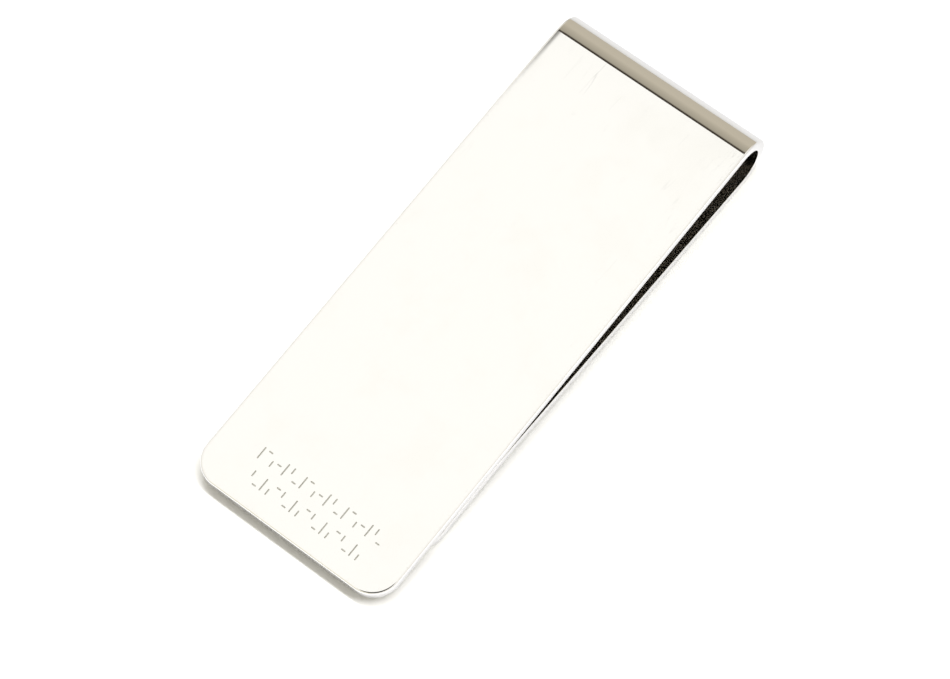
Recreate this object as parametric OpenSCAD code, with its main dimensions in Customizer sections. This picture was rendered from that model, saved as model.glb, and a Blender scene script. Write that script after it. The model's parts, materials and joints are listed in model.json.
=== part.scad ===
// Money clip: one spring-hard strip, folded back on itself to hold folded notes.
// The long back leaf lies on top, the fold is the spring, and the short pinch leaf presses
// up against the back leaf. The strip is divided only where it changes its job, so each zone
// is a solid of its own: back leaf, spring fold, pinch leaf and lead-in tip.
//
// Frame: X across the strip, Y along it with the fold at +Y, Z up. The clip rests on its
// fold and on the end of its lead-in tip, and the origin is the middle of its footprint.

/* [Strip] */
// Width of the strip
strip_w = 25; // [22:0.5:32]
// Thickness of the sheet
sheet_t = 1.25; // [0.9:0.05:1.6]
// Rounding of the sheet's polished edges
edge_r = 0.25; // [0.05:0.01:0.4]

/* [Back leaf] */
// Length of the back leaf, from its free end to the start of the fold
back_len = 62; // [50:0.2:76]
// Radius of the two corners at the back leaf's free end
back_corner_r = 3.2; // [2:0.2:8]

/* [Fold] */
// Inside radius of the fold
fold_inner_r = 2.4; // [1.8:0.1:3.2]

/* [Pinch leaf] */
// Distance from the back leaf's free end to the line where the pinch leaf meets it
contact_from_end = 17; // [13:0.2:21]
// Radius of the gentle bend at the line where the leaves meet
contact_bend_r = 54; // [30:1:70]
// Gap left between the leaves along that line when the clip is shut
shut_gap = 0.05; // [0.02:0.01:0.2]

/* [Lead-in tip] */
// Length of the flat tip beyond the bend
tip_len = 8.5; // [6.6:0.1:11]
// Angle at which the tip turns away from the back leaf
tip_flare = 1.5; // [0.5:0.25:3]
// Radius of the tip's two corners
tip_corner_r = 3.2; // [2:0.2:6]

/* [Engraved marks] */
// Depth of the engraved marks
mark_depth = 0.05; // [0.02:0.01:0.15]
// Width of one engraved stroke
mark_stroke = 0.16; // [0.1:0.01:0.3]
// Height of a row of marks
mark_h = 1.5; // [1:0.1:2]
// Distance between one mark and the next along a row
mark_pitch = 0.78; // [0.6:0.02:0.84]
// Distance from the free end to the middle of the row nearest to it
mark_from_end = 3.1; // [2:0.1:6]
// Distance between the middles of the two rows
row_spacing = 2.6; // [2.2:0.1:4]
// Distance of the rows' middle from the middle of the strip
mark_shift = 0.5; // [-1:0.1:1]

/* [Hidden] */
$fn = 96;

fold_outer_r = fold_inner_r + sheet_t;

// The clip's own frame has its origin on the fold's axis and the back leaf along -Y.
// The inner face of the pinch leaf is the straight line that runs under the fold's inside
// circle and over the circle of the contact bend, so its slope and length follow from them.
bend_y = contact_from_end - back_len;
bend_z = fold_inner_r - shut_gap - contact_bend_r;
centre_dist = norm([bend_y, bend_z]);
arm_slope = asin((fold_inner_r + contact_bend_r) / centre_dist) - atan2(-bend_z, -bend_y);
arm_len = sqrt(centre_dist ^ 2 - (fold_inner_r + contact_bend_r) ^ 2);

// The table touches the fold's outside circle and the rounded lower edge of the tip.
tip_dir = [-cos(tip_flare), -sin(tip_flare)];
tip_down = [sin(tip_flare), -cos(tip_flare)];
tip_start = [bend_y, bend_z] - contact_bend_r * tip_down;
tip_edge = tip_start + (tip_len - edge_r) * tip_dir + (sheet_t - edge_r) * tip_down;
rest_tilt = atan2(tip_edge[1], -tip_edge[0]) + asin((fold_outer_r - edge_r) / norm(tip_edge));

// The two ends of the footprint, as seen from the fold's axis.
back_edge = [edge_r - back_len, fold_outer_r - edge_r];
front_y = fold_outer_r;
rear_y = back_edge[0] * cos(rest_tilt) - back_edge[1] * sin(rest_tilt) - edge_r;

// The engraved rows. Each mark is [width, height, offset from the row's middle], as shares
// of the row's height, and a size of 0 means one stroke wide. The sequence repeats.
upper_marks = [[0, 1, 0], [0.35, 0, 0.4], [0, 0.5, -0.25], [0.35, 0, 0], [0, 1, 0],
    [0, 0.5, 0.25], [0.35, 0, -0.4]];
lower_marks = [[0, 0.5, 0.25], [0.35, 0, -0.4], [0, 1, 0], [0, 0.5, -0.25], [0.35, 0, 0.4]];
upper_count = 21;
lower_count = 19;

// From the clip's own frame to the frame in which it rests.
module at_rest() {
    translate([0, -(front_y + rear_y) / 2, fold_outer_r]) rotate([rest_tilt, 0, 0]) children();
}

// Cross-section of the sheet with rounded edges: width along X, thickness up from 0.
module sheet_section() {
    flat_x = strip_w / 2 - edge_r;
    translate([-flat_x, 0]) square([2 * flat_x, sheet_t]);
    translate([-strip_w / 2, edge_r]) square([strip_w, sheet_t - 2 * edge_r]);
    for (x = [-flat_x, flat_x], y = [edge_r, sheet_t - edge_r]) translate([x, y]) circle(edge_r);
}

// The same section from its middle out to one rounded edge, len away.
module edge_section(len) {
    square([len - edge_r, sheet_t]);
    translate([0, edge_r]) square([len, sheet_t - 2 * edge_r]);
    for (y = [edge_r, sheet_t - edge_r]) translate([len - edge_r, y]) circle(edge_r);
}

// A straight length of strip from y = 0 towards -Y, standing on z = 0.
module straight_strip(len) {
    rotate([90, 0, 0]) linear_extrude(len) sheet_section();
}

// A bent length of strip about the X axis: it starts straight up and turns towards +Y.
module bent_strip(inside_r, angle) {
    rotate([0, -90, 0]) rotate_extrude(angle = angle, $fn = 360)
        translate([inside_r, 0]) rotate([0, 0, -90]) sheet_section();
}

// The end of a leaf with two round corners, from y = 0 to y = -corner_r.
module leaf_end(corner_r) {
    corner_x = strip_w / 2 - corner_r;
    translate([corner_x, 0, 0]) rotate([90, 0, -90])
        linear_extrude(2 * corner_x) edge_section(corner_r);
    for (side = [0, 1]) mirror([side, 0, 0]) translate([corner_x, 0, 0]) rotate([0, 0, -90])
        rotate_extrude(angle = 90) edge_section(corner_r);
}

// A flat leaf from y = 0 towards -Y, ending in two round corners.
module flat_leaf(len, corner_r) {
    straight_strip(len - corner_r);
    translate([0, corner_r - len, 0]) leaf_end(corner_r);
}

// One row of engraved marks, cut down from z = 0 and centred on the origin.
module mark_row(marks, count) {
    for (i = [0 : count - 1]) {
        mark = marks[i % len(marks)];
        size_x = max(mark[0] * mark_h, mark_stroke);
        size_y = max(mark[1] * mark_h, mark_stroke);
        translate([(i - (count - 1) / 2) * mark_pitch, mark[2] * mark_h, 0])
            cube([size_x, size_y, 2 * mark_depth], center = true);
    }
}

// Long flat leaf on top, with two round corners and two rows of fine marks at its free end.
module back_leaf() {
    color([0.88, 0.87, 0.85]) at_rest() translate([0, 0, fold_inner_r]) difference() {
        flat_leaf(back_len, back_corner_r);
        translate([mark_shift, mark_from_end - back_len, sheet_t]) {
            mark_row(lower_marks, lower_count);
            translate([0, row_spacing, 0]) mark_row(upper_marks, upper_count);
        }
    }
}

// The U-shaped fold that joins the leaves and works as their spring.
module spring_fold() {
    color([0.72, 0.7, 0.66]) at_rest() bent_strip(fold_inner_r, 180 + arm_slope);
}

// Straight sprung arm that rises from the fold towards the back leaf.
module pinch_leaf() {
    color([0.8, 0.79, 0.76]) at_rest() rotate([-arm_slope, 0, 0])
        translate([0, 0, -fold_outer_r]) straight_strip(arm_len);
}

// Gentle bend that meets the back leaf, and the flat tip that turns away to lead notes in.
module lead_in_tip() {
    color([0.76, 0.75, 0.72]) at_rest()
        translate([0, tip_start[0], tip_start[1]]) rotate([tip_flare, 0, 0]) union() {
            translate([0, 0, -contact_bend_r])
                bent_strip(contact_bend_r - sheet_t, arm_slope + tip_flare);
            translate([0, 0, -sheet_t]) flat_leaf(tip_len, tip_corner_r);
        }
}

back_leaf();
spring_fold();
pinch_leaf();
lead_in_tip();
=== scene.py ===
import json
import math

import bpy
from mathutils import Matrix, Vector


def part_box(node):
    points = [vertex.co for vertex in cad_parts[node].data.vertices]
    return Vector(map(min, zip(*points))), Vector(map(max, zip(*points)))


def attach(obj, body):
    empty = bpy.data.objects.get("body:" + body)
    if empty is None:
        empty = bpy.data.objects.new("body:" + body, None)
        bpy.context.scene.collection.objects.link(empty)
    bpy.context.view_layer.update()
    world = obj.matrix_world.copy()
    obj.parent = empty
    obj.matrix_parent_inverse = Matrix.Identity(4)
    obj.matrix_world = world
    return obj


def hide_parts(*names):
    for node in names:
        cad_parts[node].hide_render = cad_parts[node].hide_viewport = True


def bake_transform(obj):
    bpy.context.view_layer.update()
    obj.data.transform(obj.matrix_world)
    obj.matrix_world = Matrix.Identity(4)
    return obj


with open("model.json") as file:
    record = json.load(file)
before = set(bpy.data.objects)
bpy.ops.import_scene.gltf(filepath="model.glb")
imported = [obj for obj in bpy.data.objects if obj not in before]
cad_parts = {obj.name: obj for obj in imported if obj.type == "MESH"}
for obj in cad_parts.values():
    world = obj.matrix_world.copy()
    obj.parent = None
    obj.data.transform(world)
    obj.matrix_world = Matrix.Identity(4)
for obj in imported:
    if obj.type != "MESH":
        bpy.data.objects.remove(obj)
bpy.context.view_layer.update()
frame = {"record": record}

# A money clip bent from one polished steel strip: a long back leaf on top, the fold that is
# its spring, and a short pinch leaf that ends in a lead-in tip. Every piece is modelled in
# the clip's own frame, with the fold's axis as origin and the back leaf level along -Y, and
# is then turned the way the clip rests. All sizes are in metres.

MM = 0.001

# Sizes of the sheet and of the leaves' ends. The sheet's edges are rounder on the side that was
# polished, which ends up outside.
SHEET = 1.25 * MM
OUTER_ROUND = 0.25 * MM
INNER_ROUND = 0.04 * MM
BACK_LENGTH = 62 * MM
BACK_CORNER = 3.2 * MM
TIP_LENGTH = 8.5 * MM
TIP_CORNER = 3.2 * MM
TIP_FLARE = math.radians(1.5)
CONTACT_FROM_END = 17 * MM
CONTACT_BEND = 54 * MM
SHUT_GAP = 0.05 * MM

# Buffing takes a little off towards every edge: the width of that worn rim, and how steeply
# the surface falls away where the rim meets the rounded edge.
BUFFED_RIM = 1.2 * MM
BUFFED_SLOPE = math.radians(1.6)

# The worn rim is built in rings that widen inwards, with one narrow flat ring after them.
RIM_RINGS = 6
RING_GROWTH = 1.6
FLAT_RING = 0.1 * MM

# How finely the rounded parts are divided, and up to which angle faces are shaded smoothly.
CORNER_STEPS = 24
OUTER_STEPS = 8
INNER_STEPS = 4
FOLD_STEPS = 186
BEND_STEPS = 24
SMOOTH_ANGLE = math.radians(32)

# Points this near to a level lie on it, and points this near to each other are merged.
ON_LEVEL = 1e-7
MERGED = 1e-8

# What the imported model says: the strip's width, the fold's circle and the leaves' directions.
fold_low, fold_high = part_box("spring_fold")
STRIP_WIDTH = fold_high.x - fold_low.x
FOLD_OUTER = (fold_high.z - fold_low.z) / 2
FOLD_INNER = FOLD_OUTER - SHEET
FOLD_AXIS = Vector((0, fold_high.y - FOLD_OUTER, fold_low.z + FOLD_OUTER))
mounts = {mount["name"]: mount for mount in frame["record"]["mounts"]}
BACK_NORMAL = Vector(mounts["outer_face"]["axis"])
PINCH_NORMAL = Vector(mounts["pinch_outer_face"]["axis"])
REST_TILT = math.atan2(-BACK_NORMAL.y, BACK_NORMAL.z)
ARM_SLOPE = REST_TILT + math.atan2(-PINCH_NORMAL.y, -PINCH_NORMAL.z)
FOLD_TURN = math.pi + ARM_SLOPE

# The length of the sheet's middle along the fold.
FOLD_MIDDLE = (FOLD_INNER + FOLD_OUTER) / 2
FOLD_RUN = FOLD_TURN * FOLD_MIDDLE

# The pinch leaf is as long as the tangent between the fold's inside and the contact bend.
BEND_Y = CONTACT_FROM_END - BACK_LENGTH
BEND_Z = FOLD_INNER - SHUT_GAP - CONTACT_BEND
ARM_LENGTH = math.sqrt(BEND_Y ** 2 + BEND_Z ** 2 - (FOLD_INNER + CONTACT_BEND) ** 2)
TIP_START = Vector((0, BEND_Y - CONTACT_BEND * math.sin(TIP_FLARE),
                    BEND_Z + CONTACT_BEND * math.cos(TIP_FLARE)))

# Two rows of fine engraved strokes near the free end. Each stroke is its width, its height
# and its offset from the row's middle, as shares of the row's height; 0 is one stroke wide.
MARK_DEPTH = 0.05 * MM
MARK_STROKE = 0.16 * MM
MARK_END_ROUND = 0.48 * MARK_STROKE
MARK_WALL_SLOPE = 0.25 * MARK_STROKE
MARK_HEIGHT = 1.5 * MM
MARK_PITCH = 0.78 * MM
MARK_SHIFT = 0.5 * MM
MARK_FROM_END = 3.1 * MM
ROW_SPACING = 2.6 * MM
UPPER_ROW = [(0, 1, 0), (0.35, 0, 0.4), (0, 0.5, -0.25), (0.35, 0, 0), (0, 1, 0),
             (0, 0.5, 0.25), (0.35, 0, -0.4)]
LOWER_ROW = [(0, 0.5, 0.25), (0.35, 0, -0.4), (0, 1, 0), (0, 0.5, -0.25), (0.35, 0, 0.4)]
UPPER_COUNT = 21
LOWER_COUNT = 19

# Where the camera stands, seen from the middle of the clip.
CAMERA_AZIMUTH = math.radians(37.94)
CAMERA_ELEVATION = math.radians(63.37)
CAMERA_DISTANCE = 0.3819
CAMERA_LENS = 139.5
SENSOR_WIDTH = 36
CAMERA_SHIFT = (-0.0072, -0.0456)
CAMERA_TARGET = Vector((0, 0, 4.46 * MM))

# The boards under the clip change their shade with the distance back (+Y) from its middle: first
# as they pass the fold, then slowly until they are far behind it. On the mirrored board these
# steps are painted shade, standing for the fold's shade and the lamp's fall-off.
FLOOR_SIZE = 6
FOLD_STARTS = 0.03
FOLD_PASSED = 0.036
FAR_BEHIND = 0.09
WARM_WHITE = (1.0, 0.985, 0.925, 1.0)
NEUTRAL = (1.0, 1.0, 1.0, 1.0)
BLACK = (0.0, 0.0, 0.0, 1.0)

LAMP_SPOT = Vector((0.13, 0.145, 0.67))
LAMP_SIZE = (0.9, 0.09)
LAMP_POWER = 5.8
LAMP_COLOR = (0.98, 1, 1.08)

# The studio's shades, by the angle in degrees from straight up towards the back (+Y).
ROOM_SHADES = [(-90, (0.5, 0.475, 0.4)), (-70, (0.9, 0.86, 0.72)), (-45, (1.04, 1.02, 0.93)),
               (-15, (1.12, 1.12, 1.11)), (17, (1.12, 1.12, 1.11)),
               (17.3, (0.045, 0.036, 0.026)), (22, (0.05, 0.042, 0.03)),
               (26, (0.4, 0.367, 0.302)), (45, (0.5, 0.458, 0.375)),
               (56, (0.575, 0.525, 0.433)), (90, (0.555, 0.507, 0.418))]

# The scrim's left corner: how far left it starts and is complete, as X over Z, and how much
# nearer the scrim's edge comes there.
CORNER_STARTS = -0.333
CORNER_COMPLETE = -0.37
CORNER_TURN = math.radians(0.95)

# The side walls: how far sideways they start and are complete, how high their feet reach, and
# their shades, high up and at the two feet.
WALL_STARTS = 0.37
WALL_COMPLETE = 0.45
FOOT_HEIGHT = 0.45
SIDE_SHADE = (1.02, 1.01, 0.98, 1.0)
SIDE_FOOT_SHADE = (0.62, 0.6, 0.55, 1.0)
LEFT_FOOT_SHADE = (0.35, 0.34, 0.31, 1.0)

# The dark camera: the angles from its middle within which it is solid and at which it ends.
CAMERA_SOLID = math.radians(22)
CAMERA_EDGE = math.radians(29)
CAMERA_SHADE = (0.03, 0.027, 0.022, 1.0)

# The steel's tones, and the two tones of an engraved stroke's floor.
CLEAN_STEEL = (0.905, 0.889, 0.848, 1.0)
CLOUDED_STEEL = (0.895, 0.877, 0.83, 1.0)
WORN_STEEL = (0.78, 0.75, 0.70, 1.0)
PITTED_STEEL = (0.4, 0.38, 0.34, 1.0)
# Painted shade: the darker, warmer colour laid on the clip's inner faces inside the gap.
INNER_PAINTED_SHADE = (0.86, 0.79, 0.70, 1.0)
BURNT_DARK = (0.6, 0.59, 0.53, 1.0)
BURNT_PALE = (0.76, 0.75, 0.68, 1.0)
POLISH = 0.04
PER_MM = 1 / MM


# --- Selecting and placing -------------------------------------------------------------------

def deselect_all():
    """Leave nothing selected and no object active."""
    for thing in bpy.context.selected_objects:
        thing.select_set(False)
    bpy.context.view_layer.objects.active = None


def make_active(thing):
    """Select one object alone."""
    deselect_all()
    thing.select_set(True)
    bpy.context.view_layer.objects.active = thing


def start_editing(thing, mode="VERT"):
    """Open a mesh for editing with nothing selected."""
    make_active(thing)
    bpy.ops.object.mode_set(mode="EDIT")
    bpy.ops.mesh.select_mode(type=mode)
    bpy.ops.mesh.select_all(action="DESELECT")


def stop_editing():
    """Close the mesh that is open for editing."""
    bpy.ops.object.mode_set(mode="OBJECT")


def select_where(thing, kind, wanted):
    """In an open mesh, select the vertices, edges or faces for which wanted(element) is true."""
    bpy.ops.object.mode_set(mode="OBJECT")
    mesh = thing.data
    for group in (mesh.vertices, mesh.edges, mesh.polygons):
        group.foreach_set("select", [False] * len(group))
    for element in getattr(mesh, kind):
        element.select = wanted(element)
    bpy.ops.object.mode_set(mode="EDIT")


def edge_ends(thing, edge):
    """The places of an edge's two ends."""
    vertices = thing.data.vertices
    return [vertices[index].co for index in edge.vertices]


def edge_on_plane(thing, edge, axis, level):
    """True if both ends of the edge lie at that level along an axis."""
    return all(abs(end[axis] - level) < ON_LEVEL for end in edge_ends(thing, edge))


def close_open_ends(thing):
    """Fill every open loop of the mesh and turn all faces outwards."""
    start_editing(thing)
    bpy.ops.mesh.select_all(action="SELECT")
    bpy.ops.mesh.remove_doubles(threshold=MERGED)
    bpy.ops.mesh.select_all(action="DESELECT")
    bpy.ops.mesh.select_mode(type="EDGE")
    bpy.ops.mesh.select_non_manifold(extend=False)
    bpy.ops.mesh.fill_holes(sides=0)
    bpy.ops.mesh.select_all(action="SELECT")
    bpy.ops.mesh.normals_make_consistent(inside=False)
    stop_editing()


def smooth_faces(thing):
    """Shade smoothly over the rounded edges, and keep the cut ends crisp."""
    make_active(thing)
    bpy.ops.object.shade_smooth_by_angle(angle=SMOOTH_ANGLE)


def place(thing, turn, spot, roll=0):
    """Turn a piece about the strip's width, or roll it about its length, move it to its spot, and
    keep all that in the mesh."""
    make_active(thing)
    thing.rotation_euler = (turn, roll, 0)
    thing.location = spot
    bpy.ops.object.transform_apply(location=True, rotation=True, scale=True)


def turn_over(thing):
    """Turn a part of the strip upside down about its own length, so that its outer side is
    below."""
    place(thing, 0, (0, 0, 0), math.pi)


# --- The strip -------------------------------------------------------------------------------

def rim_drop(inward):
    """How far the buffed surface lies under the sheet's face, that far in from the rounding."""
    share = max(0.0, 1 - inward / BUFFED_RIM)
    return math.tan(BUFFED_SLOPE) * BUFFED_RIM / 3 * share ** 3


def buff_rim(thing, is_face):
    """Inset a leaf's broad face in narrow rings that rise gently to the sheet's full thickness."""
    select_where(thing, "polygons", is_face)
    inward = 0.0
    for ring in range(RIM_RINGS):
        reach = BUFFED_RIM * ((ring + 1) / RIM_RINGS) ** RING_GROWTH
        rise = rim_drop(inward) - rim_drop(reach)
        bpy.ops.mesh.inset(thickness=reach - inward, depth=rise, use_boundary=False,
                           use_even_offset=True)
        inward = reach
    bpy.ops.mesh.inset(thickness=FLAT_RING, depth=0, use_boundary=False)


def add_leaf(name, length, corner):
    """A flat leaf with two round corners at its far end, from y = 0 to y = -length, its sheet
    from z = 0 up and its outer side above. It is left open at y = 0, where the strip goes on."""
    worn = rim_drop(0)
    deselect_all()
    bpy.ops.mesh.primitive_plane_add(size=1, location=(0, 0, 0))
    leaf = bpy.context.object
    leaf.name = name
    leaf.scale = (STRIP_WIDTH, length, 1)
    leaf.location = (0, -length / 2, worn)
    bpy.ops.object.transform_apply(location=True, rotation=True, scale=True)

    # The outline: round the two far corners, then raise the sheet's thickness.
    start_editing(leaf)
    select_where(leaf, "vertices", lambda v: v.co.y < -length + ON_LEVEL)
    bpy.ops.mesh.bevel(offset=corner, segments=CORNER_STEPS, affect="VERTICES")
    bpy.ops.mesh.select_all(action="SELECT")
    bpy.ops.mesh.extrude_region_move(
        TRANSFORM_OT_translate={"value": (0, 0, SHEET - 2 * worn)})

    # Open the end where the strip goes on.
    bpy.ops.mesh.select_mode(type="FACE")
    select_where(leaf, "polygons",
                 lambda f: abs(f.normal.y) > 0.9 and f.center.y > -ON_LEVEL)
    bpy.ops.mesh.delete(type="ONLY_FACE")
    bpy.ops.mesh.select_all(action="SELECT")
    bpy.ops.mesh.normals_make_consistent(inside=False)

    # Round the rim above and below, all but the open end.
    bpy.ops.mesh.select_mode(type="EDGE")
    for level, rounding, steps in ((SHEET - worn, OUTER_ROUND, OUTER_STEPS),
                                   (worn, INNER_ROUND, INNER_STEPS)):
        select_where(leaf, "edges", lambda e: edge_on_plane(leaf, e, 2, level)
                     and not edge_on_plane(leaf, e, 1, 0))
        bpy.ops.mesh.bevel(offset=rounding, segments=steps, affect="EDGES", clamp_overlap=False)

    # Buff both broad faces.
    bpy.ops.mesh.select_mode(type="FACE")
    broad = STRIP_WIDTH * length / 2
    buff_rim(leaf, lambda f: f.normal.z > 0.99 and f.area > broad)
    buff_rim(leaf, lambda f: f.normal.z < -0.99 and f.area > broad)
    stop_editing()
    return leaf


def copy_open_end(leaf, name):
    """The outline of the strip's section, copied from a leaf's open end."""
    start_editing(leaf, "EDGE")
    select_where(leaf, "edges", lambda e: edge_on_plane(leaf, e, 1, 0))
    bpy.ops.mesh.duplicate()
    bpy.ops.mesh.separate(type="SELECTED")
    stop_editing()
    section = [thing for thing in bpy.context.selected_objects if thing != leaf][0]
    section.name = name
    section.data.name = name
    return section


def copy_of(thing, name):
    """A copy of an object with its own mesh."""
    twin = thing.copy()
    twin.data = thing.data.copy()
    twin.name = name
    bpy.context.scene.collection.objects.link(twin)
    return twin


def bend_section(thing, turn, centre, steps):
    """Sweep the selected outline of an open mesh about the strip's width."""
    bpy.ops.mesh.spin(steps=steps, angle=turn, center=centre, axis=(1, 0, 0))


# --- The pieces ------------------------------------------------------------------------------

def add_mark_cutter():
    """All the engraved strokes as one cutter: blunt bars with round ends and sloping walls."""
    deselect_all()
    bpy.ops.mesh.primitive_cube_add(size=1, location=(0, 0, 0))
    stroke = bpy.context.object
    stroke.name = "stroke"
    strokes = []
    rows = ((UPPER_ROW, UPPER_COUNT, MARK_FROM_END + ROW_SPACING),
            (LOWER_ROW, LOWER_COUNT, MARK_FROM_END))
    for row, count, from_end in rows:
        for number in range(count):
            wide, high, offset = row[number % len(row)]
            size = (max(wide * MARK_HEIGHT, MARK_STROKE), max(high * MARK_HEIGHT, MARK_STROKE))
            bar = copy_of(stroke, f"stroke_{len(strokes)}")
            bar.scale = (size[0], size[1], 2 * MARK_DEPTH)
            bar.location = (MARK_SHIFT + (number - (count - 1) / 2) * MARK_PITCH,
                            from_end - BACK_LENGTH + offset * MARK_HEIGHT, FOLD_OUTER)
            strokes.append(bar)
    bpy.data.objects.remove(stroke)
    deselect_all()
    for bar in strokes:
        bar.select_set(True)
    cutter = strokes[0]
    bpy.context.view_layer.objects.active = cutter
    bpy.ops.object.transform_apply(location=True, rotation=True, scale=True)
    bpy.ops.object.join()

    # Round the ends of the bars, then slope their walls towards the bottom.
    start_editing(cutter, "EDGE")

    def upright(edge):
        low, high = edge_ends(cutter, edge)
        return abs(low.z - high.z) > MARK_DEPTH

    select_where(cutter, "edges", upright)
    bpy.ops.mesh.bevel(offset=MARK_END_ROUND, segments=4, affect="EDGES")
    floor_level = FOLD_OUTER - MARK_DEPTH
    select_where(cutter, "edges", lambda e: edge_on_plane(cutter, e, 2, floor_level))
    bpy.ops.mesh.bevel(offset=MARK_WALL_SLOPE, segments=2, affect="EDGES")
    stop_editing()
    return cutter


def make_back_leaf(leaf, cutter):
    """The long leaf on top, with its engraved strokes."""
    leaf.name = "back_leaf_polished"
    close_open_ends(leaf)
    smooth_faces(leaf)
    for material in (polished, engraved):
        leaf.data.materials.append(material)
    for face in cutter.data.polygons:
        face.use_smooth = False
    cutter.data.materials.append(engraved)
    make_active(leaf)
    cut = leaf.modifiers.new("engraving", "BOOLEAN")
    cut.operation = "DIFFERENCE"
    cut.solver = "EXACT"
    cut.material_mode = "TRANSFER"
    cut.object = cutter
    bpy.ops.object.modifier_apply(modifier=cut.name)
    bpy.data.objects.remove(cutter)
    keep_sheet_place(leaf, lambda co: (co.x, co.y, co.z - FOLD_INNER))
    keep_rim_distance(leaf, BACK_LENGTH, BACK_CORNER)
    place(leaf, REST_TILT, FOLD_AXIS)
    return leaf


def make_spring_fold(section):
    """The fold, swept half a turn and a little more from the back leaf round to the pinch leaf."""
    section.name = "spring_fold_polished"
    start_editing(section, "EDGE")
    bpy.ops.mesh.select_all(action="SELECT")
    bend_section(section, FOLD_TURN, (0, 0, 0), FOLD_STEPS)
    stop_editing()
    close_open_ends(section)
    smooth_faces(section)
    section.data.materials.append(polished)

    def unbent(co):
        turn = math.atan2(co.y, co.z)
        if turn < -0.1:
            turn += 2 * math.pi
        return (co.x, turn * FOLD_MIDDLE, math.hypot(co.y, co.z) - FOLD_INNER)

    keep_sheet_place(section, unbent)
    keep_rim_distance(section)
    place(section, REST_TILT, FOLD_AXIS)
    return section


def make_pinch_leaf(section):
    """The straight sprung arm, drawn out from the fold's lower end."""
    section.name = "pinch_leaf_polished"
    turn_over(section)
    start_editing(section, "EDGE")
    bpy.ops.mesh.select_all(action="SELECT")
    bpy.ops.mesh.extrude_region_move(TRANSFORM_OT_translate={"value": (0, -ARM_LENGTH, 0)})
    stop_editing()
    close_open_ends(section)
    smooth_faces(section)
    section.data.materials.append(polished)
    keep_sheet_place(section, lambda co: (co.x, FOLD_RUN - co.y, -FOLD_INNER - co.z))
    keep_rim_distance(section)
    place(section, REST_TILT - ARM_SLOPE, FOLD_AXIS)
    return section


def make_lead_in_tip():
    """The flat tip with round corners, and the gentle bend that joins it to the pinch leaf."""
    tip = add_leaf("lead_in_tip_polished", TIP_LENGTH, TIP_CORNER)
    turn_over(tip)
    start_editing(tip)
    select_where(tip, "edges", lambda e: edge_on_plane(tip, e, 1, 0))
    bend_section(tip, ARM_SLOPE + TIP_FLARE, (0, 0, -CONTACT_BEND), BEND_STEPS)
    stop_editing()
    close_open_ends(tip)
    smooth_faces(tip)
    tip.data.materials.append(polished)
    run = FOLD_RUN + ARM_LENGTH + (ARM_SLOPE + TIP_FLARE) * CONTACT_BEND
    keep_sheet_place(tip, lambda co: (co.x, run - co.y, -co.z))
    keep_rim_distance(tip, TIP_LENGTH, TIP_CORNER)
    spot = FOLD_AXIS + Matrix.Rotation(REST_TILT, 3, "X") @ TIP_START
    place(tip, REST_TILT + TIP_FLARE, spot)
    return tip


# --- What the materials read -----------------------------------------------------------------

def keep_sheet_place(thing, unbent):
    """Store, for each point, where it lies on the flat strip before bending: across, along and
    through the sheet. The polishing lines then follow the strip round its bends."""
    layer = thing.data.attributes.new("sheet_place", "FLOAT_VECTOR", "POINT")
    for vertex in thing.data.vertices:
        layer.data[vertex.index].vector = unbent(vertex.co)


def keep_rim_distance(thing, length=None, corner=0):
    """Store, for each point, how far it lies from the strip's rim. A leaf with a length also
    has a rounded far end."""
    layer = thing.data.attributes.new("rim_distance", "FLOAT", "POINT")
    for vertex in thing.data.vertices:
        from_side = STRIP_WIDTH / 2 - abs(vertex.co.x)
        distance = from_side
        if length is not None:
            from_end = length + vertex.co.y
            distance = min(from_side, from_end)
            if from_side < corner and from_end < corner:
                distance = corner - math.hypot(corner - from_side, corner - from_end)
        layer.data[vertex.index].value = max(0.0, distance)


# --- Materials -------------------------------------------------------------------------------

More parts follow.
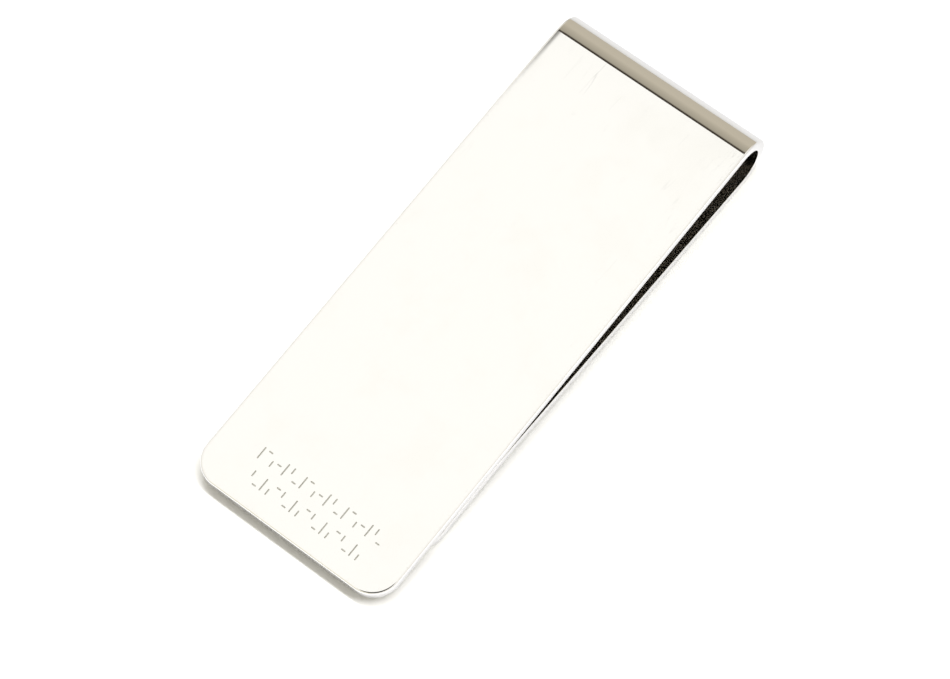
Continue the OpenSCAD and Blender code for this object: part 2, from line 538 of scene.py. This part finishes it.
class Nodes:
    """A short way to write a tree's nodes and links."""

    def __init__(self, tree):
        self.tree = tree
        tree.nodes.clear()

    def add(self, kind, **settings):
        node = self.tree.nodes.new(kind)
        for key, value in settings.items():
            setattr(node, key, value)
        return node

    def link(self, source, target):
        self.tree.links.new(source, target)

    def feed(self, target, value):
        if isinstance(value, (int, float, tuple)):
            target.default_value = value
        else:
            self.link(value, target)

    def math(self, operation, first, second=0.0):
        node = self.add("ShaderNodeMath", operation=operation)
        self.feed(node.inputs[0], first)
        self.feed(node.inputs[1], second)
        return node.outputs[0]

    def between(self, value, low, high, to_low=0.0, to_high=1.0):
        """A soft step from to_low, where the value is low, to to_high, where it is high."""
        node = self.add("ShaderNodeMapRange", interpolation_type="SMOOTHSTEP")
        for target, number in zip(node.inputs[0:5], (value, low, high, to_low, to_high)):
            self.feed(target, number)
        return node.outputs[0]

    def mix_color(self, share, first, second):
        node = self.add("ShaderNodeMix", data_type="RGBA")
        self.feed(node.inputs["Factor"], share)
        self.feed(node.inputs[6], first)
        self.feed(node.inputs[7], second)
        return node.outputs[2]

    def attribute(self, name, output):
        node = self.add("ShaderNodeAttribute", attribute_name=name)
        return node.outputs[output]

    def stretched(self, place, scale, turn=0.0):
        node = self.add("ShaderNodeMapping")
        self.feed(node.inputs["Vector"], place)
        self.feed(node.inputs["Rotation"], (0.0, 0.0, turn))
        self.feed(node.inputs["Scale"], scale)
        return node.outputs["Vector"]

    def noise(self, place, scale, detail=2.0, roughness=0.5):
        node = self.add("ShaderNodeTexNoise")
        self.feed(node.inputs["Vector"], place)
        self.feed(node.inputs["Scale"], scale)
        self.feed(node.inputs["Detail"], detail)
        self.feed(node.inputs["Roughness"], roughness)
        return node.outputs[0]

    def axes(self, place):
        """The X, Y and Z of a place or direction."""
        node = self.add("ShaderNodeSeparateXYZ")
        self.link(place, node.inputs[0])
        return node.outputs

    def layered(self, base, layers):
        """A base value with patterns laid over it, each in its own amount."""
        total = base
        for pattern, amount in layers:
            total = self.math("ADD", total, self.math("MULTIPLY", pattern, amount))
        return total

    def bump(self, height, strength, distance):
        node = self.add("ShaderNodeBump")
        node.inputs["Strength"].default_value = strength
        node.inputs["Distance"].default_value = distance
        self.link(height, node.inputs["Height"])
        return node.outputs["Normal"]


def start_material(name):
    """A new material with one shader, as (its nodes, its shader, itself)."""
    material = bpy.data.materials.new(name)
    material.use_nodes = True
    nodes = Nodes(material.node_tree)
    shader = nodes.add("ShaderNodeBsdfPrincipled")
    output = nodes.add("ShaderNodeOutputMaterial")
    nodes.link(shader.outputs["BSDF"], output.inputs["Surface"])
    return nodes, shader, material


def hair_scratches(nodes, place, turn, spread, rarity):
    """Long thin scratches in one direction, each broken off by a coarser pattern."""
    lengthwise = nodes.stretched(place, (1.0, 0.07, 1.0), turn)
    wander = nodes.noise(lengthwise, spread, 1.0)
    off_line = nodes.math("ABSOLUTE", nodes.math("SUBTRACT", wander, 0.5))
    line = nodes.between(off_line, 0.0, 0.012, 1.0, 0.0)
    patches = nodes.noise(nodes.stretched(place, (0.35, 0.2, 1.0), turn + 0.4), 1.0, 1.0)
    kept = nodes.between(patches, rarity, rarity + 0.06)
    return nodes.math("MULTIPLY", line, kept)


def make_polished_steel():
    """Mirror-polished steel that has been handled: buffing lines along the strip, a few hair
    scratches, faint smudges, small pits, and a softer, slightly duller rim. The inner side,
    which a polishing wheel hardly reaches, is duller too, and is coloured darker and warmer there:
    painted shade."""
    nodes, shader, material = start_material("polished_steel")
    place = nodes.stretched(nodes.attribute("sheet_place", "Vector"), (PER_MM,) * 3)
    rim = nodes.math("MULTIPLY", nodes.attribute("rim_distance", "Fac"), PER_MM)

    buffing = nodes.noise(nodes.stretched(place, (22.0, 0.5, 22.0)), 1.0, 3.0, 0.6)
    cross_buffing = nodes.noise(nodes.stretched(place, (1.2, 16.0, 16.0)), 1.0, 2.0)
    scratches = hair_scratches(nodes, place, 0.25, 0.9, 0.56)
    for turn, spread, rarity in ((-0.9, 0.7, 0.6), (1.35, 1.1, 0.62)):
        more = hair_scratches(nodes, place, turn, spread, rarity)
        scratches = nodes.math("MAXIMUM", scratches, more)
    smudges = nodes.between(nodes.noise(place, 0.16, 4.0, 0.6), 0.45, 0.7)
    fingers = nodes.between(nodes.noise(nodes.stretched(place, (1.0, 0.6, 1.0), 0.7), 0.45, 2.0),
                            0.5, 0.75)
    wear = nodes.between(rim, 0.15, 0.9, 1.0, 0.0)
    nicks = nodes.between(nodes.noise(place, 3.2, 3.0, 0.7), 0.56, 0.66)
    worn_nicks = nodes.math("MULTIPLY", nicks, wear)

    # The inner faces away from the rim: a real duller finish in the roughness, and painted shade
    # in the colour.
    inside = nodes.between(nodes.axes(place)["Z"], 0.01, 0.1, 1.0, 0.0)
    inside = nodes.math("MULTIPLY", inside, nodes.between(rim, 0.2, 2.0))

    pits = nodes.add("ShaderNodeTexVoronoi")
    nodes.feed(pits.inputs["Vector"], place)
    nodes.feed(pits.inputs["Scale"], 0.2)
    tone = nodes.add("ShaderNodeSeparateColor")
    nodes.link(pits.outputs["Color"], tone.inputs[0])
    chosen = nodes.math("GREATER_THAN", tone.outputs[0], 0.72)
    size = nodes.math("MULTIPLY", tone.outputs[1], 0.016)
    pit = nodes.between(nodes.math("SUBTRACT", pits.outputs["Distance"], size), 0.0, 0.012,
                        1.0, 0.0)
    specks = nodes.math("MULTIPLY", pit, chosen)

    color = nodes.mix_color(smudges, CLEAN_STEEL, CLOUDED_STEEL)
    for pattern, amount, tone in ((worn_nicks, 0.35, WORN_STEEL), (specks, 0.3, PITTED_STEEL),
                                  (inside, 0.75, INNER_PAINTED_SHADE)):
        color = nodes.mix_color(nodes.math("MULTIPLY", pattern, amount), color, tone)
    nodes.feed(shader.inputs["Base Color"], color)
    shader.inputs["Metallic"].default_value = 1.0

    rough = nodes.layered(POLISH, ((smudges, 0.008), (fingers, 0.006), (scratches, 0.05),
                                   (wear, 0.02), (worn_nicks, 0.06), (buffing, 0.015),
                                   (specks, 0.2), (inside, 0.16)))
    nodes.feed(shader.inputs["Roughness"], rough)

    height = nodes.layered(0.0, ((buffing, 0.25), (cross_buffing, 0.1), (scratches, -0.35),
                                 (worn_nicks, -0.4), (specks, -1.0)))
    nodes.link(nodes.bump(height, 0.25, 0.0012 * MM), shader.inputs["Normal"])
    return material


def make_engraved_steel():
    """The burnt grey floor of an engraved stroke, grainy and dull."""
    nodes, shader, material = start_material("engraved_steel")
    place = nodes.stretched(nodes.attribute("sheet_place", "Vector"), (PER_MM,) * 3)
    grain = nodes.noise(place, 14.0, 3.0, 0.7)
    color = nodes.mix_color(grain, BURNT_DARK, BURNT_PALE)
    nodes.feed(shader.inputs["Base Color"], color)
    shader.inputs["Metallic"].default_value = 1.0
    rough = nodes.between(grain, 0.3, 0.7, 0.4, 0.6)
    nodes.feed(shader.inputs["Roughness"], rough)
    nodes.link(nodes.bump(grain, 0.5, 0.01 * MM), shader.inputs["Normal"])
    return material


def make_board_paint(name, tint, beside, behind, far):
    """Matt board with a barely visible tooth: one shade beside the clip, one behind its fold,
    and one farther back. Where these shades differ, the darker ones behind the fold and farther
    back are painted shade."""
    nodes, shader, material = start_material(name)
    coordinates = nodes.add("ShaderNodeTexCoord").outputs["Object"]
    back = nodes.axes(coordinates)["Y"]
    shade = nodes.between(back, FOLD_STARTS, FOLD_PASSED, beside, behind)
    # Painted shade: the shade darkens farther behind the fold.
    painted_falloff = nodes.between(back, FOLD_PASSED, FAR_BEHIND, 0.0, far - behind)
    shade = nodes.math("ADD", shade, painted_falloff)
    tooth = nodes.math("MULTIPLY", nodes.noise(coordinates, 900.0, 3.0), 0.02)
    shade = nodes.math("ADD", shade, tooth)
    nodes.feed(shader.inputs["Base Color"], nodes.mix_color(shade, BLACK, tint))
    shader.inputs["Roughness"].default_value = 0.8
    shader.inputs["Specular IOR Level"].default_value = 0.1
    return material


# --- Studio ----------------------------------------------------------------------------------

def add_board(name, level, paint):
    """A wide level board, painted, which isn't part of the clip."""
    deselect_all()
    bpy.ops.mesh.primitive_plane_add(size=FLOOR_SIZE, location=(0, 0, level))
    board = bpy.context.object
    board.name = name
    board.data.materials.append(paint)
    return board


def make_floor():
    """A white board under the clip. The polished faces mirror a greyer board in its place, so
    that they stay apart from the white round them. That greyer board is painted shade that only
    reflections see, darker behind the fold and farther back."""
    white_paint = make_board_paint("white_board", WARM_WHITE, 0.9, 0.9, 0.9)
    floor = add_board("floor", 0, white_paint)
    floor.visible_glossy = False
    # The mirrored board's shades are painted shade: lighter beside the clip, darker behind the
    # fold and farther back.
    reflected_shade_paint = make_board_paint("grey_board", NEUTRAL, 0.8, 0.55, 0.48)
    mirrored = add_board("mirrored_board", 0.01 * MM, reflected_shade_paint)
    mirrored.visible_camera = False
    mirrored.visible_diffuse = False
    mirrored.visible_transmission = False
    mirrored.visible_shadow = False


def make_lamp():
    """A soft strip lamp high behind the clip and across it. It throws the short shadow under the
    free end, and the polished faces don't mirror it."""
    light = bpy.data.lights.new("lamp", "AREA")
    light.shape = "RECTANGLE"
    light.size, light.size_y = LAMP_SIZE
    light.color = LAMP_COLOR
    light.energy = LAMP_POWER
    lamp = bpy.data.objects.new("lamp", light)
    bpy.context.scene.collection.objects.link(lamp)
    lamp.location = LAMP_SPOT
    lamp.rotation_euler = (-math.atan2(LAMP_SPOT.y, LAMP_SPOT.z), 0, 0)
    lamp.visible_glossy = False


def make_room():
    """The studio round the clip: a white scrim overhead and in front, its edge and the dark
    ceiling above the fold, a warm grey wall behind, pale walls with darker feet on both sides,
    and the camera. The scrim's edge comes a little nearer at its left corner."""
    world = bpy.data.worlds.new("room")
    bpy.context.scene.world = world
    world.use_nodes = True
    nodes = Nodes(world.node_tree)
    direction = nodes.add("ShaderNodeTexCoord").outputs["Generated"]
    sideways, back, up = nodes.axes(direction)
    tilt = nodes.math("ARCTAN2", back, up)
    leftwards = nodes.math("DIVIDE", sideways, up)
    corner = nodes.between(leftwards, CORNER_COMPLETE, CORNER_STARTS, CORNER_TURN, 0.0)
    tilt = nodes.math("ADD", tilt, corner)
    quarter = math.pi / 2
    share = nodes.add("ShaderNodeMapRange")
    for target, value in zip(share.inputs[0:5], (tilt, -quarter, quarter, 0.0, 1.0)):
        nodes.feed(target, value)
    ramp = nodes.add("ShaderNodeValToRGB")
    nodes.link(share.outputs[0], ramp.inputs[0])
    stops = ramp.color_ramp.elements
    while len(stops) < len(ROOM_SHADES):
        stops.new(0.5)
    for stop, (degrees, shade) in zip(stops, ROOM_SHADES):
        stop.position = (degrees + 90) / 180
        stop.color = (*shade, 1.0)
    side = nodes.between(nodes.math("ABSOLUTE", sideways), WALL_STARTS, WALL_COMPLETE)
    left = nodes.between(sideways, -WALL_COMPLETE, -WALL_STARTS, 1.0, 0.0)
    foot = nodes.mix_color(left, SIDE_FOOT_SHADE, LEFT_FOOT_SHADE)
    wall = nodes.mix_color(nodes.between(up, 0.0, FOOT_HEIGHT), foot, SIDE_SHADE)
    shade = nodes.mix_color(side, ramp.outputs[0], wall)
    facing = nodes.add("ShaderNodeVectorMath", operation="DOT_PRODUCT")
    nodes.link(direction, facing.inputs[0])
    facing.inputs[1].default_value = camera_direction()
    camera = nodes.between(facing.outputs["Value"], math.cos(CAMERA_EDGE),
                           math.cos(CAMERA_SOLID))
    shade = nodes.mix_color(camera, shade, CAMERA_SHADE)
    background = nodes.add("ShaderNodeBackground")
    output = nodes.add("ShaderNodeOutputWorld")
    nodes.link(shade, background.inputs["Color"])
    nodes.link(background.outputs[0], output.inputs["Surface"])


def camera_direction():
    """From the clip towards the camera."""
    level = math.cos(CAMERA_ELEVATION)
    return Vector((math.sin(CAMERA_AZIMUTH) * level, -math.cos(CAMERA_AZIMUTH) * level,
                   math.sin(CAMERA_ELEVATION)))


def make_camera():
    """A long lens, aimed a little above the floor at the middle of the clip."""
    lens = bpy.data.cameras.new("camera")
    lens.lens = CAMERA_LENS
    lens.sensor_width = SENSOR_WIDTH
    lens.shift_x, lens.shift_y = CAMERA_SHIFT
    camera = bpy.data.objects.new("camera", lens)
    bpy.context.scene.collection.objects.link(camera)
    back = camera_direction()
    camera.location = CAMERA_TARGET + CAMERA_DISTANCE * back
    camera.rotation_mode = "QUATERNION"
    camera.rotation_quaternion = back.to_track_quat("Z", "Y")
    bpy.context.scene.camera = camera


# --- Making it all ---------------------------------------------------------------------------

make_camera()
make_floor()
make_lamp()
make_room()
bpy.context.scene.view_settings.view_transform = "Standard"

polished = make_polished_steel()
engraved = make_engraved_steel()

open_leaf = add_leaf("open_leaf", BACK_LENGTH, BACK_CORNER)
start_editing(open_leaf)
bpy.ops.mesh.select_all(action="SELECT")
bpy.ops.transform.translate(value=(0, 0, FOLD_INNER))
stop_editing()
section = copy_open_end(open_leaf, "strip_section")
pinch_leaf = make_pinch_leaf(copy_of(section, "pinch_section"))
spring_fold = make_spring_fold(section)
back_leaf = make_back_leaf(open_leaf, add_mark_cutter())
lead_in_tip = make_lead_in_tip()

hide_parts("back_leaf")
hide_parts("spring_fold")
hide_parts("pinch_leaf")
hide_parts("lead_in_tip")
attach(back_leaf, "back_side")
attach(pinch_leaf, "pinch_side")
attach(lead_in_tip, "pinch_side")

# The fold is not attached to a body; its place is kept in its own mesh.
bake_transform(spring_fold)
